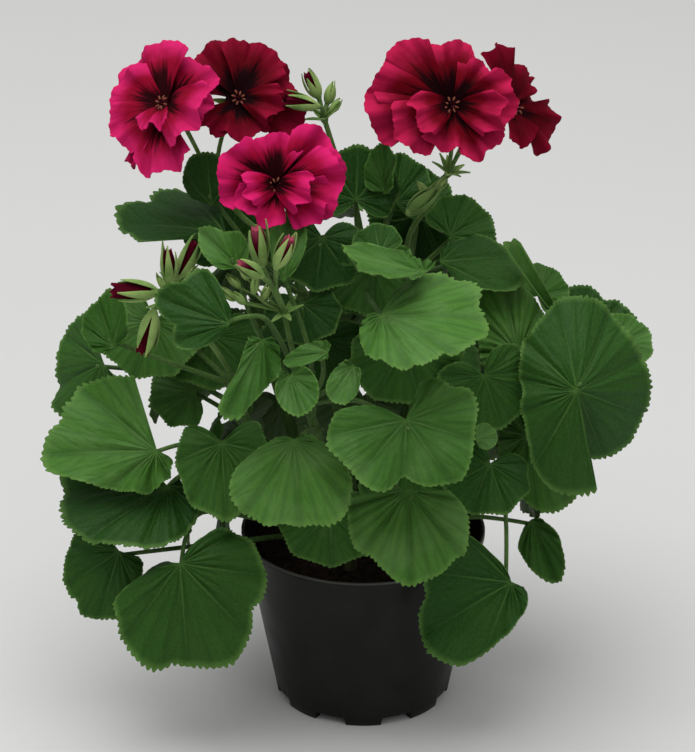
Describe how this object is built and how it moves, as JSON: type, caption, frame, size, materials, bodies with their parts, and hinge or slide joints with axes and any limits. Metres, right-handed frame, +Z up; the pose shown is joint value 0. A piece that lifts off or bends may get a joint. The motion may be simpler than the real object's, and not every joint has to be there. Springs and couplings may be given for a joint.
{
  "type": "potted flowering plant",
  "caption": "Bushy regal pelargonium with broad toothed leaves, ruffled magenta blooms and buds, in a tapered black plastic nursery pot.",
  "frame": {"origin": "middle of the pot's underside, on the surface it stands on", "axes": "+Z up along the pot's axis; -Y towards the viewer of the picture, +X to that viewer's right"},
  "size_m": [0.2942, 0.2247, 0.336],
  "materials": {
    "pot_plastic": "satin black, thin-walled",
    "peat": "rough granular peat",
    "leaf": "matte, downy, veined green",
    "stalk": "matte, hairy light green",
    "bud_petal": "soft dark crimson",
    "petal": "velvety magenta-crimson with near-black throat blotches"
  },
  "bodies": {
    "root": {"pot": "pot_plastic", "soil": "peat", "stem_left": "leaf", "stem_front": "leaf", "stem_middle": "leaf", "stem_top": "leaf", "stem_right": "leaf", "stem_crown": "leaf", "stem_rear_left": "leaf", "stem_rear_right": "leaf", "head_left": "stalk", "head_right": "stalk", "buds_top": "stalk", "buds_middle": "stalk", "buds_left": "stalk", "bud_top_side_petals": "bud_petal", "bud_top_up_petals": "bud_petal", "bud_middle_up_petals": "bud_petal", "bud_middle_low_petals": "bud_petal", "bud_middle_right_petals": "bud_petal", "bud_left_open_petals": "bud_petal", "bud_left_up_petals": "bud_petal", "bud_left_right_petals": "bud_petal", "bud_left_down_petals": "bud_petal", "bloom_left": "petal", "bloom_back": "petal", "bloom_front": "petal", "bloom_right": "petal", "bloom_side": "petal"}
  },
  "joints": []
}
